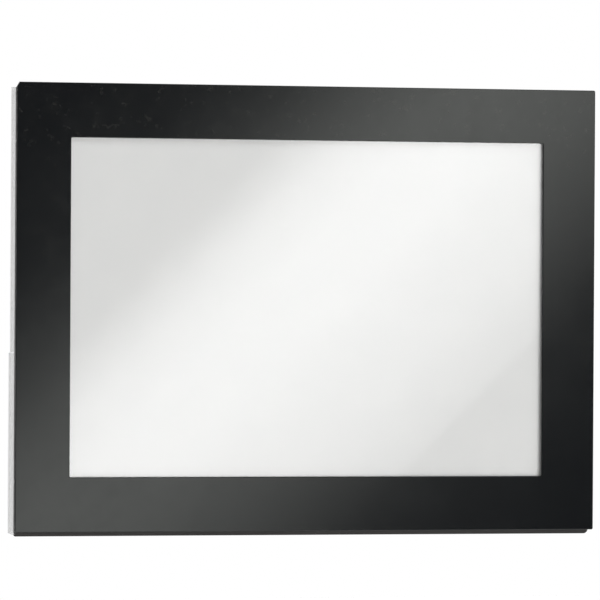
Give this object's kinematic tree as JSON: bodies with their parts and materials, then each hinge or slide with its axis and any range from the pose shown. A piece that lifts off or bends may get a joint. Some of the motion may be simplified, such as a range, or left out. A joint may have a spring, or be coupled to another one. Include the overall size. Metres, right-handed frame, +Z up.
{
  "type": "magnetic display frame",
  "caption": "Flat landscape wall frame for a sheet of paper: a black border round a clear window, with a magnetic cover that swings on a folded film hinge and adhesive tape on the back.",
  "frame": {"origin": "middle of the rear panel on the wall plane, which is the outer face of the tape", "axes": "+X to the viewer's right, +Y from the front of the frame into the wall, +Z up"},
  "size_m": [0.1758, 0.0038, 0.1322],
  "materials": {
    "black_film": "satin black plastic film with a fine grain",
    "clear_film": "clear glossy plastic film",
    "hinge_film": "milky clear plastic film, folded",
    "magnet_rubber": "matt ferrite-filled flexible strip",
    "tape": "off-white double-sided foam tape",
    "paper": "white uncoated paper"
  },
  "bodies": {
    "rear_panel": {"tape_top": "tape", "tape_bottom": "tape", "tape_left": "tape", "tape_right": "tape", "rear_magnet_top": "magnet_rubber", "rear_magnet_bottom": "magnet_rubber", "rear_magnet_left": "magnet_rubber", "rear_magnet_right": "magnet_rubber", "rear_film": "clear_film", "hinge_film_upper": "hinge_film", "hinge_film_lower": "hinge_film"},
    "cover": {"window_film": "clear_film", "cover_magnet_top": "magnet_rubber", "cover_magnet_bottom": "magnet_rubber", "cover_magnet_left": "magnet_rubber", "cover_magnet_right": "magnet_rubber", "face_border": "black_film"},
    "insert": {"insert_sheet": "paper"}
  },
  "joints": [
    {"name": "cover_hinge", "type": "hinge", "parent": "rear_panel", "child": "cover", "pos_m": [-0.08835, -0.0021, 0], "axis": [0, 0, -1], "range_deg": [0, 180], "deforming": ["hinge_film_upper", "hinge_film_lower"]},
    {"name": "insert_slide", "type": "slide", "parent": "rear_panel", "child": "insert", "axis": [1, 0, 0], "range_m": [0, 0.165]}
  ]
}
